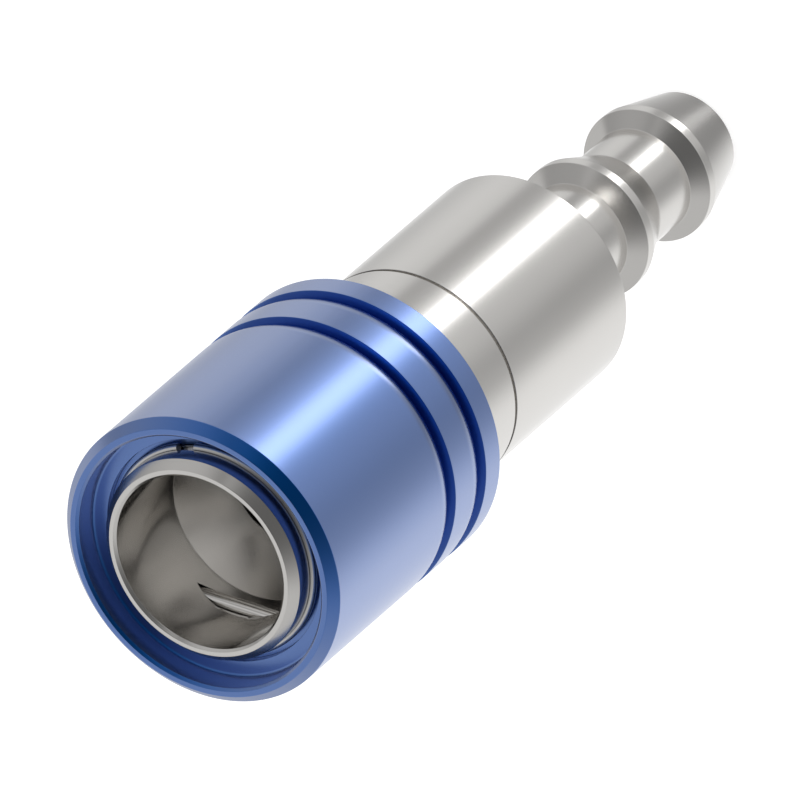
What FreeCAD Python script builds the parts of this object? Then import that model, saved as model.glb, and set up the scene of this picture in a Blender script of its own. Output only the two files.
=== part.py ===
"""Socket half of a liquid cooling quick coupling: release sleeve, pin lock, poppet valve and hose tail.

Millimetres, +Z up along the coupling's axis. The origin is the centre of the hose tail's end face, on
which the coupling stands, and the mouth for the plug points up. The two locking pins lie at +X and -X.
"""
import FreeCAD, Part
import math
import os

import Sketcher

doc = FreeCAD.newDocument("quick_coupling")
sheet = doc.addObject("Spreadsheet::Sheet", "Sizes")
nodes = []


class Size:
    """A length with its value in millimetres and the sheet formula that gives it."""

    def __init__(self, value, formula):
        self.value = value
        self.formula = formula

    def __add__(self, other):
        other = as_size(other)
        return Size(self.value + other.value, f"({self.formula} + {other.formula})")

    def __sub__(self, other):
        other = as_size(other)
        return Size(self.value - other.value, f"({self.formula} - {other.formula})")

    def __mul__(self, other):
        other = as_size(other)
        return Size(self.value * other.value, f"({self.formula} * {other.formula})")

    def __truediv__(self, other):
        other = as_size(other)
        return Size(self.value / other.value, f"({self.formula} / {other.formula})")

    def root(self):
        """Square root of the value."""
        return Size(math.sqrt(self.value), f"sqrt({self.formula})")


def as_size(number):
    """A plain number as a size, so that both can stand in one sum."""
    return number if isinstance(number, Size) else Size(number, str(number))


# Hose tail, from the tip up
tip_radius = 4.10  # radius of the tail's end face
tip_cone = 5.24  # length of the tip barb's lead-in cone
tip_barb_radius = 5.52  # crest of the barb nearest the tip
barb_land = 0.80  # length of each barb's crest
barb_back = 0.85  # length of each barb's back slope
neck_radius = 4.30  # tail between and above the barbs
tip_neck = 4.51  # neck between the two barbs
inner_cone = 3.35  # length of the inner barb's cone
inner_barb_radius = 5.66  # crest of the inner barb
root_neck = 7.92  # neck above the inner barb, where the hose clamp sits
tail_body = 16.67  # length of the tail's thick part, up to the seam
tail_bore = 3.00  # radius of the coolant passage
rear_chamfer = 0.20  # edge of the thick part's rear face
seam_width = 0.30  # height of the shadow groove at the seam
seam_depth = 0.35  # depth of the shadow groove at the seam
well_depth = 2.10  # straight chamber below the valve guide

# Joint between tail and socket body
shoulder_step = 0.60  # how far the barrel behind the sleeve stands out over the tube
tail_wall = 0.95  # wall round the tail's female thread, drawn at its major size
thread_gap = 0.05  # radial play of the spigot in the tail
spigot_length = 5.50  # socket body's spigot below the seam
guide_thickness = 1.40  # valve guide clamped below the spigot
seal_gap = 0.05  # free play drawn round every seal ring

# Socket body, from the seam up
barrel_top = 8.00  # seam to the shoulder under the spring seat
tube_length = 23.16  # shoulder to the front face
tube_wall = 1.20  # wall of the tube that the sleeve slides on
tube_chamfer = 0.65  # outside edge of the tube's front face
mouth_radius = 7.15  # bore that takes the plug
mouth_chamfer = 0.20  # inside edge of the tube's front face
mouth_depth = 8.38  # straight bore in front of the cone
cone_depth = 4.08  # cone from the bore to the nose hole
hole_radius = 4.35  # hole for the plug's nose, closed by the poppet
hole_length = 3.60  # length of the nose hole
spigot_wall = 1.75  # wall of the spigot round the coolant chamber

# Release sleeve
sleeve_wall = 1.75  # wall of the sleeve over the springs
sleeve_overlap = 1.00  # how far the sleeve reaches back over the barrel
sleeve_chamfer = 0.70  # outside edge of the sleeve's front face
front_land = 0.45  # flat front face of the sleeve
lead_chamfer = 0.20  # inside edge of the sleeve's front face
back_chamfer = 0.10  # edges of the sleeve's back face
recess_depth = 2.16  # front face to the step round the stop ring
pocket_room = 0.40  # radial room over the stop ring in the sleeve
spring_space = 1.65  # radial space between tube and sleeve for the lock spring
slide_gap = 0.07  # radial running fit of rings and rib on the tube
bore_gap = 0.08  # radial running fit of the seat ring in the sleeve
grip_depth = 1.06  # depth of a grip groove
grip_run = 1.93  # length of a grip groove
grip_pitch = 4.46  # distance between the grip grooves
grip_count = 2  # grip grooves
back_band = 2.12  # band behind the last grip groove

# Stop ring, locking pins and their spring
ring_wire = 0.32  # wire radius of the stop ring
ring_proud = 0.40  # how far the stop ring stands out of the tube
ring_depth = 2.38  # front face to the stop ring
ring_gap = 1.50  # opening between the stop ring's ends
ring_turn = 187.3  # direction of that opening about the axis, in degrees
groove_play = 0.03  # play of the stop ring in its groove
rest_gap = 0.10  # gap drawn where sliding parts rest on a stop
pin_radius = 0.60  # radius of a locking pin
pin_length = 10.0  # length of a locking pin
pin_chamfer = 0.20  # edge of a pin's ends
pin_proud = 0.75  # how far a pin stands into the bore
pin_depth = 6.25  # front face to a pin's axis
pin_room = 0.20  # room round the pins in the sleeve
slot_gap = 0.04  # play of a pin in its slot, each side
slot_slope = 1.00  # axial travel for each millimetre outwards
release_travel = 1.50  # travel of the sleeve
follower_thickness = 1.40  # ring behind the pins
follower_room = 0.15  # radial room of that ring in the sleeve
seat_thickness = 1.50  # ring under the lock spring
lock_wire = 0.55  # wire radius of the lock spring
lock_turns = 5  # turns of the lock spring

# Poppet valve
poppet_gap = 0.15  # radial gap round the poppet's nose
poppet_edge = 0.15  # edge of the poppet's face
seat_gap = 0.05  # gap drawn between the closed poppet and its seat
flange_width = 0.95  # how far the poppet's flange reaches out under the seat
flange_rim = 1.30  # length of the flange's rim
stem_radius = 1.40  # poppet's stem
stem_gap = 0.05  # radial running fit of the stem in the guide
stem_end = 0.20  # stem below the guide
boss_radius = 2.10  # bosses that centre the valve spring
boss_height = 1.30  # height of those bosses
valve_wire = 0.35  # wire radius of the valve spring
valve_turns = 10  # turns of the valve spring
spring_room = 0.30  # radial room round a boss inside its spring
port_radius = 1.20  # radius of a coolant port in the guide
port_margin = 0.50  # from the ports to the wall of the chamber
port_count = 6  # coolant ports in the guide

# Seal rings
nose_cord = 0.50  # section radius of the nose seal
nose_groove_depth = 1.00  # depth of the nose seal's groove
nose_depth = 1.35  # start of the nose hole to its seal groove
poppet_cord = 0.40  # section radius of the poppet's seal
tail_cord = 0.38  # section radius of the tail seal
tail_seal_rise = 0.70  # end of the spigot to its seal groove

# Every number above is a driving dimension: it goes to the sheet, and carries its cell into each sum
driving = {alias: value for alias, value in globals().items() if type(value) in (int, float)}
for row, (alias, value) in enumerate(driving.items(), 1):
    sheet.set(f"A{row}", alias)
    sheet.set(f"B{row}", str(value))
    sheet.setAlias(f"B{row}", alias)
    globals()[alias] = Size(value, f"Sizes.{alias}")
ZERO = as_size(0)

# Levels along the axis
tip_land = tip_cone + barb_land
tip_root = tip_land + barb_back
inner_start = tip_root + tip_neck
inner_crest = inner_start + inner_cone
inner_land = inner_crest + barb_land
inner_root = inner_land + barb_back
tail_shoulder = inner_root + root_neck
seam = tail_shoulder + tail_body
spigot_end = seam - spigot_length
guide_foot = spigot_end - guide_thickness
well_floor = guide_foot - well_depth
shoulder = seam + barrel_top
front = shoulder + tube_length
cone_top = front - mouth_depth
hole_top = cone_top - cone_depth
seat_top = hole_top - hole_length
sleeve_back = shoulder - sleeve_overlap
ring_level = front - ring_depth
pin_level = front - pin_depth
rib_top = ring_level - ring_wire - rest_gap
rib_foot = pin_level + pin_radius + rest_gap
follower_top = pin_level - pin_radius - rest_gap
follower_foot = follower_top - follower_thickness
seat_ring_top = shoulder + seat_thickness

# Radii, from the plug's bore outwards and back to the chamber
tube_radius = mouth_radius + tube_wall
sleeve_bore = tube_radius + spring_space
sleeve_radius = sleeve_bore + sleeve_wall
pocket_radius = tube_radius + ring_proud + pocket_room
body_radius = tube_radius + shoulder_step
thread_radius = body_radius - tail_wall
chamber_radius = thread_radius - thread_gap - spigot_wall
flange_radius = hole_radius + flange_width
port_circle = chamber_radius - port_radius - port_margin

# Radii that follow from the fits
rib_bore = tube_radius + slide_gap
ring_mean = tube_radius + ring_proud - ring_wire
mouth_wall = sleeve_radius - sleeve_chamfer - front_land - lead_chamfer
tail_seal_mean = thread_radius - seal_gap * 2 - tail_cord
pin_place = mouth_radius - pin_proud + pin_radius
slope_length = (slot_slope * slot_slope + 1).root()
pin_outer_place = pin_place + release_travel / slot_slope
pin_tip_out = pin_outer_place + pin_radius
pin_tip_side = pin_length / 2 - pin_chamfer
cavity_radius = (pin_tip_out * pin_tip_out + pin_tip_side * pin_tip_side).root() + pin_room


def origin_plane(body, role):
    """One of the body's own origin planes."""
    for feature in body.Origin.OriginFeatures:
        if feature.Role == role:
            return feature
    raise ValueError(f"{body.Name} has no {role}")


def new_body(name):
    """A body whose label names its file."""
    body = doc.addObject("PartDesign::Body", name)
    body.Label = name
    nodes.append(body)
    return body


def new_sketch(body, name, role="XZ_Plane"):
    """A sketch on one of the body's origin planes; on XZ its axes are the radius and the height."""
    sketch = body.newObject("Sketcher::SketchObject", name)
    sketch.AttachmentSupport = [(origin_plane(body, role), "")]
    sketch.MapMode = "FlatFace"
    return sketch


def bind(sketch, kind, geometry, end, size):
    """Hold one point of the sketch at a distance from the origin, taken from the sheet."""
    axis = -2 if kind == "DistanceX" else -1
    if size.value == 0:
        sketch.addConstraint(Sketcher.Constraint("PointOnObject", geometry, end, axis))
        return
    index = sketch.addConstraint(Sketcher.Constraint(kind, -1, 1, geometry, end, size.value))
    sketch.setExpression(f"Constraints[{index}]", size.formula)


def hold_point(sketch, geometry, end, point):
    """Hold both coordinates of one point of the sketch."""
    bind(sketch, "DistanceX", geometry, end, point[0])
    bind(sketch, "DistanceY", geometry, end, point[1])


def vector(point):
    """A pair of sizes as a point in the sketch."""
    return FreeCAD.Vector(point[0].value, point[1].value, 0)


def draw_outline(sketch, points):
    """Closed outline of straight lines through the given pairs of sizes."""
    count = len(points)
    for index, point in enumerate(points):
        following = points[(index + 1) % count]
        sketch.addGeometry(Part.LineSegment(vector(point), vector(following)), False)
    for index in range(count):
        sketch.addConstraint(Sketcher.Constraint("Coincident", index, 2, (index + 1) % count, 1))
    for index, point in enumerate(points):
        hold_point(sketch, index, 1, point)


def turned(body, kind, name, points):
    """Turn an outline about the axis: a Revolution adds it and a Groove cuts it."""
    sketch = new_sketch(body, f"{name}_profile")
    draw_outline(sketch, points)
    feature = body.newObject(f"PartDesign::{kind}", name)
    feature.Profile = sketch
    feature.ReferenceAxis = (sketch, ["V_Axis"])
    feature.Angle = 360
    sketch.Visibility = False
    return feature


def ring_outline(inner, outer, foot, top):
    """Rectangle between two radii and two heights."""
    return [(inner, foot), (outer, foot), (outer, top), (inner, top)]


def polar_copies(body, feature, name, count):
    """Copies of a feature spaced evenly about the axis."""
    pattern = body.newObject("PartDesign::PolarPattern", name)
    pattern.Originals = [feature]
    pattern.Axis = (origin_plane(body, "Z_Axis"), [""])
    pattern.Angle = 360
    pattern.Occurrences = count
    body.Tip = pattern
    return pattern


def seal_ring(name, mean, cord, level):
    """A plain seal ring, drawn at its free round section."""
    ring = doc.addObject("Part::Torus", name)
    ring.Label = name
    ring.setExpression("Radius1", mean.formula)
    ring.setExpression("Radius2", cord.formula)
    ring.setExpression("Placement.Base.z", level.formula)
    nodes.append(ring)
    return ring


def coil_spring(name, mean, wire, foot, top, turns):
    """A compression spring between two seats, a rest gap clear of each."""
    body = new_body(name)
    sketch = new_sketch(body, f"{name}_wire")
    start = foot + rest_gap + wire
    height = top - foot - (wire + rest_gap) * 2
    sketch.addGeometry(Part.Circle(vector((mean, start)), FreeCAD.Vector(0, 0, 1), wire.value), False)
    hold_point(sketch, 0, 3, (mean, start))
    index = sketch.addConstraint(Sketcher.Constraint("Radius", 0, wire.value))
    sketch.setExpression(f"Constraints[{index}]", wire.formula)
    coil = body.newObject("PartDesign::AdditiveHelix", f"{name}_coil")
    coil.Profile = sketch
    coil.ReferenceAxis = (sketch, ["V_Axis"])
    coil.Mode = 1
    coil.Pitch = height.value / turns.value
    coil.Turns = turns.value
    coil.setExpression("Pitch", (height / turns).formula)
    coil.setExpression("Turns", turns.formula)
    coil.Angle = 0
    coil.Reversed = False
    sketch.Visibility = False
    return body


def hose_tail():
    """Barbed tail, screwed over the socket body's spigot; the thread is drawn as a plain bore."""
    body = new_body("hose_tail")
    turned(body, "Revolution", "barbs_and_barrel", [
        (ZERO, ZERO),
        (tip_radius, ZERO),
        (tip_barb_radius, tip_cone),
        (tip_barb_radius, tip_land),
        (neck_radius, tip_root),
        (neck_radius, inner_start),
        (inner_barb_radius, inner_crest),
        (inner_barb_radius, inner_land),
        (neck_radius, inner_root),
        (neck_radius, tail_shoulder),
        (body_radius - rear_chamfer, tail_shoulder),
        (body_radius, tail_shoulder + rear_chamfer),
        (body_radius, seam - seam_width),
        (body_radius - seam_depth, seam - seam_width),
        (body_radius - seam_depth, seam),
        (ZERO, seam),
    ])
    turned(body, "Groove", "coolant_way", [
        (ZERO, ZERO),
        (tail_bore, ZERO),
        (tail_bore, well_floor - chamber_radius + tail_bore),
        (chamber_radius, well_floor),
        (chamber_radius, guide_foot),
        (thread_radius, guide_foot),
        (thread_radius, seam),
        (ZERO, seam),
    ])


def socket_body():
    """Tube and barrel in one turned piece, with the plug's bore, the valve seat and the pins' slots."""
    body = new_body("socket_body")
    spigot_radius = thread_radius - thread_gap
    turned(body, "Revolution", "barrel_and_tube", [
        (ZERO, spigot_end),
        (spigot_radius, spigot_end),
        (spigot_radius, seam),
        (body_radius, seam),
        (body_radius, shoulder),
        (tube_radius, shoulder),
        (tube_radius, front - tube_chamfer),
        (tube_radius - tube_chamfer, front),
        (ZERO, front),
    ])
    turned(body, "Groove", "bore_and_seat", [
        (ZERO, spigot_end),
        (chamber_radius, spigot_end),
        (chamber_radius, seat_top - chamber_radius + hole_radius),
        (hole_radius, seat_top),
        (hole_radius, hole_top),
        (mouth_radius, cone_top),
        (mouth_radius, front - mouth_chamfer),
        (mouth_radius + mouth_chamfer, front),
        (ZERO, front),
    ])
    turned(body, "Groove", "stop_ring_groove", ring_outline(
        ring_mean - ring_wire - groove_play, tube_radius + ring_wire,
        ring_level - ring_wire - groove_play, ring_level + ring_wire + groove_play))
    nose_groove = hole_top - nose_depth
    turned(body, "Groove", "nose_seal_groove", ring_outline(
        hole_radius - nose_groove_depth, hole_radius + nose_groove_depth,
        nose_groove - (nose_cord + seal_gap) * 2, nose_groove))
    tail_groove = spigot_end + tail_seal_rise
    turned(body, "Groove", "tail_seal_groove", ring_outline(
        tail_seal_mean - tail_cord - seal_gap, thread_radius + tail_cord,
        tail_groove, tail_groove + (tail_cord + seal_gap) * 2))
    pin_slots(body)


def pin_slots(body):
    """Two straight saw cuts across the tube's wall, sloping outwards and back, one for each pin."""
    half = pin_radius + slot_gap
    across = half / slope_length
    run = tube_radius / slope_length
    end_out = pin_place - across
    end_up = pin_level + across * slot_slope
    rear = (end_out - across * slot_slope, end_up - across)
    fore = (end_out + across * slot_slope, end_up + across)
    sketch = new_sketch(body, "slot_profile")
    draw_outline(sketch, [
        rear,
        fore,
        (fore[0] + run, fore[1] - run * slot_slope),
        (rear[0] + run, rear[1] - run * slot_slope),
    ])
    slot = body.newObject("PartDesign::Pocket", "slot")
    slot.Profile = sketch
    slot.SideType = "Symmetric"
    slot.Type = "Length"
    slot.setExpression("Length", (tube_radius * 2).formula)
    sketch.Visibility = False
    polar_copies(body, slot, "slots", 2)


def release_sleeve():
    """Sleeve that is pulled back to release the plug: its rib drives the pins, its mouth hides them."""
    body = new_body("release_sleeve")
    turned(body, "Revolution", "sleeve_wall", [
        (sleeve_bore + back_chamfer, sleeve_back),
        (sleeve_radius - back_chamfer, sleeve_back),
        (sleeve_radius, sleeve_back + back_chamfer),
        (sleeve_radius, front - sleeve_chamfer),
        (sleeve_radius - sleeve_chamfer, front),
        (mouth_wall + lead_chamfer, front),
        (mouth_wall, front - lead_chamfer),
        (mouth_wall, front - recess_depth),
        (pocket_radius, front - recess_depth),
        (pocket_radius, rib_top),
        (rib_bore, rib_top),
        (rib_bore, rib_foot),
        (cavity_radius, rib_foot),
        (cavity_radius, follower_top - rest_gap),
        (sleeve_bore, follower_top - rest_gap),
        (sleeve_bore, sleeve_back + back_chamfer),
    ])
    grip_grooves(body)


def grip_grooves(body):
    """Two turned grip grooves: the surface curves down to a flat wall that the fingers pull on."""
    wall = sleeve_back + back_band
    start = wall + grip_run
    bend = (grip_run * grip_run + grip_depth * grip_depth) / (grip_depth * 2)
    centre = (sleeve_radius - bend, start)
    floor = (sleeve_radius - grip_depth, wall)
    brim = (sleeve_radius, wall)
    top = (sleeve_radius, start)
    sweep = math.asin(grip_run.value / bend.value)
    circle = Part.Circle(vector(centre), FreeCAD.Vector(0, 0, 1), bend.value)
    sketch = new_sketch(body, "grip_profile")
    sketch.addGeometry(Part.ArcOfCircle(circle, -sweep, 0), False)
    sketch.addGeometry(Part.LineSegment(vector(floor), vector(brim)), False)
    sketch.addGeometry(Part.LineSegment(vector(brim), vector(top)), False)
    sketch.addConstraint(Sketcher.Constraint("Coincident", 0, 1, 1, 1))
    sketch.addConstraint(Sketcher.Constraint("Coincident", 1, 2, 2, 1))
    sketch.addConstraint(Sketcher.Constraint("Coincident", 2, 2, 0, 2))
    hold_point(sketch, 0, 3, centre)
    hold_point(sketch, 2, 2, top)
    hold_point(sketch, 2, 1, brim)
    bind(sketch, "DistanceY", 0, 1, wall)
    groove = body.newObject("PartDesign::Groove", "grip_groove")
    groove.Profile = sketch
    groove.ReferenceAxis = (sketch, ["V_Axis"])
    groove.Angle = 360
    sketch.Visibility = False
    pattern = body.newObject("PartDesign::LinearPattern", "grip_grooves")
    pattern.Originals = [groove]
    pattern.Direction = (origin_plane(body, "Z_Axis"), [""])
    pattern.setExpression("Length", (grip_pitch * (grip_count - 1)).formula)
    pattern.Occurrences = grip_count.value
    body.Tip = pattern


def sleeve_stop_ring():
    """Split wire ring in the tube's groove, which the sleeve's rib rests against."""
    ring = doc.addObject("Part::Torus", "sleeve_stop_ring")
    ring.Label = "sleeve_stop_ring"
    opening = ring_gap / ring_mean * math.degrees(1)
    ring.setExpression("Radius1", ring_mean.formula)
    ring.setExpression("Radius2", ring_wire.formula)
    ring.setExpression("Angle3", (as_size(math.degrees(math.tau)) - opening).formula)
    ring.setExpression("Placement.Base.z", ring_level.formula)
    ring.setExpression("Placement.Rotation.Angle", (ring_turn + opening / 2).formula)
    nodes.append(ring)


def locking_pins():
    """Two straight pins across the bore's sides, each in its sloping slot."""
    for number, side in ((1, 1), (2, -1)):
        body = new_body(f"locking_pin_{number}")
        turned(body, "Revolution", f"pin_{number}", [
            (ZERO, ZERO),
            (pin_radius - pin_chamfer, ZERO),
            (pin_radius, pin_chamfer),
            (pin_radius, pin_length - pin_chamfer),
            (pin_radius - pin_chamfer, pin_length),
            (ZERO, pin_length),
        ])
        body.Placement.Rotation = FreeCAD.Rotation(FreeCAD.Vector(1, 0, 0), -90)
        body.setExpression("Placement.Base.x", (pin_place * side).formula)
        body.setExpression("Placement.Base.y", (ZERO - pin_length / 2).formula)
        body.setExpression("Placement.Base.z", pin_level.formula)


def lock_rings():
    """Ring behind the pins, and the ring that carries the other end of their spring."""
    follower = new_body("pin_follower_ring")
    turned(follower, "Revolution", "follower", ring_outline(
        rib_bore, sleeve_bore - follower_room, follower_foot, follower_top))
    seat = new_body("spring_seat_ring")
    turned(seat, "Revolution", "seat", ring_outline(
        rib_bore, sleeve_bore - bore_gap, shoulder, seat_ring_top))


def valve_poppet():
    """Poppet with its sealing nose, flange and guided stem in one turned piece."""
    nose = hole_radius - poppet_gap
    seal_top = seat_top + seal_gap
    seal_foot = seal_top - (poppet_cord + seal_gap) * 2
    corner = hole_radius - seat_gap + seat_top - seal_foot
    rim_top = seal_foot - flange_radius + corner
    rim_foot = rim_top - flange_rim
    body = new_body("valve_poppet")
    turned(body, "Revolution", "poppet", [
        (ZERO, guide_foot - stem_end),
        (stem_radius, guide_foot - stem_end),
        (stem_radius, rim_foot - boss_height),
        (boss_radius, rim_foot - boss_height),
        (boss_radius, rim_foot),
        (flange_radius, rim_foot),
        (flange_radius, rim_top),
        (corner, seal_foot),
        (nose - poppet_cord * 2, seal_foot),
        (nose - poppet_cord * 2, seal_top),
        (nose, seal_top),
        (nose, hole_top - poppet_edge),
        (nose - poppet_edge, hole_top),
        (ZERO, hole_top),
    ])
    mean = nose - poppet_cord * 2 + seal_gap + poppet_cord
    seal_ring("poppet_seal", mean, poppet_cord, seal_top - seal_gap - poppet_cord)
    spring_mean = boss_radius + spring_room + valve_wire
    coil_spring("valve_spring", spring_mean, valve_wire, spigot_end, rim_foot, valve_turns)


def poppet_guide():
    """Perforated disc clamped under the spigot; its hub guides the poppet's stem."""
    body = new_body("poppet_guide")
    turned(body, "Revolution", "disc_and_hub", [
        (stem_radius + stem_gap, guide_foot),
        (thread_radius - thread_gap, guide_foot),
        (thread_radius - thread_gap, spigot_end),
        (boss_radius, spigot_end),
        (boss_radius, spigot_end + boss_height),
        (stem_radius + stem_gap, spigot_end + boss_height),
    ])
    sketch = new_sketch(body, "port_profile", "XY_Plane")
    hole = Part.Circle(vector((port_circle, ZERO)), FreeCAD.Vector(0, 0, 1), port_radius.value)
    sketch.addGeometry(hole, False)
    hold_point(sketch, 0, 3, (port_circle, ZERO))
    index = sketch.addConstraint(Sketcher.Constraint("Radius", 0, port_radius.value))
    sketch.setExpression(f"Constraints[{index}]", port_radius.formula)
    port = body.newObject("PartDesign::Pocket", "port")
    port.Profile = sketch
    port.SideType = "Symmetric"
    port.Type = "Length"
    port.setExpression("Length", (spigot_end * 2 + boss_height).formula)
    sketch.Visibility = False
    polar_copies(body, port, "ports", port_count.value)


def seals_and_lock_spring():
    """Seal rings of the nose hole and of the screwed joint, and the spring behind the pins."""
    nose_level = hole_top - nose_depth - nose_cord - seal_gap
    seal_ring("nose_seal", hole_radius - poppet_gap + seal_gap + nose_cord, nose_cord, nose_level)
    tail_level = spigot_end + tail_seal_rise + seal_gap + tail_cord
    seal_ring("tail_seal", tail_seal_mean, tail_cord, tail_level)
    spring_mean = (rib_bore + sleeve_bore) / 2
    coil_spring("lock_spring", spring_mean, lock_wire, seat_ring_top, follower_foot, lock_turns)


def check_model():
    """Stop if any object failed or any piece has no valid solid."""
    for item in doc.Objects:
        if "Invalid" in item.State or "Error" in item.State:
            raise RuntimeError(f"{item.Label} failed: {item.State}")
    for node in nodes:
        if node.Shape.isNull() or not node.Shape.isValid() or not node.Shape.Solids:
            raise RuntimeError(f"{node.Label} has no valid solid")


hose_tail()
socket_body()
release_sleeve()
sleeve_stop_ring()
locking_pins()
lock_rings()
valve_poppet()
poppet_guide()
seals_and_lock_spring()
doc.recompute()
check_model()

os.makedirs("parts", exist_ok=True)
for node in nodes:
    node.Shape.exportStep(f"parts/{node.Label}.step")
    print(node.Label, round(node.Shape.Volume, 2), len(node.Shape.Solids))
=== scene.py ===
import math
from itertools import pairwise

import bpy
from bpy.props import FloatProperty, FloatVectorProperty, IntProperty, PointerProperty
from mathutils import Matrix, Vector


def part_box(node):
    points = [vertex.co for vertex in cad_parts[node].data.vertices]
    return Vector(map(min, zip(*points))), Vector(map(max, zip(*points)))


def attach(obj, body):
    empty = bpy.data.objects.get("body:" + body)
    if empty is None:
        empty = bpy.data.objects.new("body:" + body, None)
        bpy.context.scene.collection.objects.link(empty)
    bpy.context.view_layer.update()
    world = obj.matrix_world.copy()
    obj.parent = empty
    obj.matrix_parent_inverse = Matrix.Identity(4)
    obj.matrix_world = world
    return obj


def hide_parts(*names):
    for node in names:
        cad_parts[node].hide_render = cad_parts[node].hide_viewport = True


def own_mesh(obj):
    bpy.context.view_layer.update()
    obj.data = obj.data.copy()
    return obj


bl_info = {
    "name": "Quick Coupling Looks",
    "version": (1, 0, 0),
    "blender": (4, 5, 0),
    "location": "3D View > Sidebar > Coupling",
    "description": "Pieces, finishes and studio for the socket half of a cooling quick coupling",
    "category": "Object",
}

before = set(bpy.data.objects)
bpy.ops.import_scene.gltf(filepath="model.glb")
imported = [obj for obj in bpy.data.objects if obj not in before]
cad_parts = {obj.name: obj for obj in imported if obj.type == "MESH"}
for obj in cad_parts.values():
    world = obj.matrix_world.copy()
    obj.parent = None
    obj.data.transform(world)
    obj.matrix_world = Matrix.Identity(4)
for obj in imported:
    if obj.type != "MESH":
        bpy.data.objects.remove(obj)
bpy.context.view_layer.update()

MM = 0.001
AXIS = (0.0, 0.0, 1.0)
WELD = 0.001 * MM  # points of a turned piece closer than this are one
# Sockets of a colour Mix node, whose names it has more than once
MIX_FIRST, MIX_SECOND, MIX_COLOUR = 6, 7, 2


def reach(node):
    """Outside radius of a turned CAD node."""
    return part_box(node)[1].x


def foot(node):
    """Lowest level of a CAD node."""
    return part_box(node)[0].z


def top(node):
    """Highest level of a CAD node."""
    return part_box(node)[1].z


def linear(hex_colour):
    """An sRGB hex colour as linear red, green, blue and full alpha."""
    channels = [int(hex_colour[i:i + 2], 16) / 255 for i in (1, 3, 5)]
    return [c / 12.92 if c <= 0.04045 else ((c + 0.055) / 1.055) ** 2.4 for c in channels] + [1.0]


def length(name, description, metres):
    """A size in the panel."""
    return FloatProperty(name=name, description=description, default=metres, unit="LENGTH",
                         subtype="DISTANCE", precision=5)


def colour(name, description, hex_colour):
    """A colour in the panel."""
    return FloatVectorProperty(name=name, description=description, default=linear(hex_colour),
                               size=4, subtype="COLOR", min=0.0, max=1.0)


def angle(name, description, degrees):
    """An angle in the panel."""
    return FloatProperty(name=name, description=description, default=math.radians(degrees),
                         subtype="ANGLE")


def plain(name, description, number):
    """A plain number in the panel."""
    return FloatProperty(name=name, description=description, default=number)


def count(name, description, number, least=1):
    """A number of steps, sides or grooves in the panel."""
    return IntProperty(name=name, description=description, default=number, min=least)


class LatheSettings(bpy.types.PropertyGroup):
    """How finely the turned pieces are made."""
    segments: count("Segments", "Steps round each turned piece", 256, least=32)
    edge: length("Broken edge", "Width of the tiny bevel on every turned edge", 0.035 * MM)
    edge_steps: count("Edge steps", "Faces across a broken edge", 3)
    edge_angle: angle("Edge angle", "Edges that turn by more than this are broken", 12)
    sharp_angle: angle("Sharp angle", "Edges that turn by more than this are shaded sharp", 50)
    grip_steps: count("Grip steps", "Faces across a grip groove", 8)
    fillet_steps: count("Fillet steps", "Faces across a fillet", 5)
    wire_sides: count("Wire sides", "Sides round the stop ring's wire", 32, least=8)
    pin_sides: count("Pin sides", "Sides round a pin", 64, least=8)
    pin_steps: count("Pin edge steps", "Faces across a pin's rounded end", 4)


class SleeveSizes(bpy.types.PropertyGroup):
    """Release sleeve."""
    radius: length("Outside", "Outside radius of the sleeve", reach("release_sleeve"))
    chamfer: length("Front chamfer", "Outside edge of the front face", 0.70 * MM)
    back_edge: length("Back edge", "Small chamfers on the back face", 0.10 * MM)
    land: length("Front land", "Flat width of the front face", 0.45 * MM)
    lead: length("Lead chamfer", "Inside edge of the front face", 0.20 * MM)
    recess: length("Recess depth", "Front face to the step round the stop ring", 2.16 * MM)
    recess_fillet: length("Recess fillet", "Fillet at the bottom of the recess", 0.25 * MM)
    pocket: length("Pocket", "Radius of the pocket over the stop ring", 9.15 * MM)
    rib_top: length("Rib top", "Front face to the rib behind the stop ring", 2.80 * MM)
    rib_bore: length("Rib bore", "Radius of the rib's bore on the tube", 8.42 * MM)
    rib_foot: length("Rib foot", "Front face to the back of the rib", 5.55 * MM)
    cavity: length("Pin cavity", "Radius of the space round the pins", 10.49 * MM)
    cavity_foot: length("Cavity foot", "Front face to the end of that space", 7.05 * MM)
    bore: length("Rear bore", "Radius of the bore over the springs", 10.0 * MM)
    grip_depth: length("Grip depth", "Depth of a grip groove", 1.06 * MM)
    grip_run: length("Grip run", "Length of a grip groove", 1.93 * MM)
    grip_pitch: length("Grip pitch", "Distance between the grip grooves", 4.46 * MM)
    grips: count("Grip grooves", "Number of grip grooves", 2)
    back_band: length("Back band", "Band behind the last grip groove", 2.12 * MM)


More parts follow.
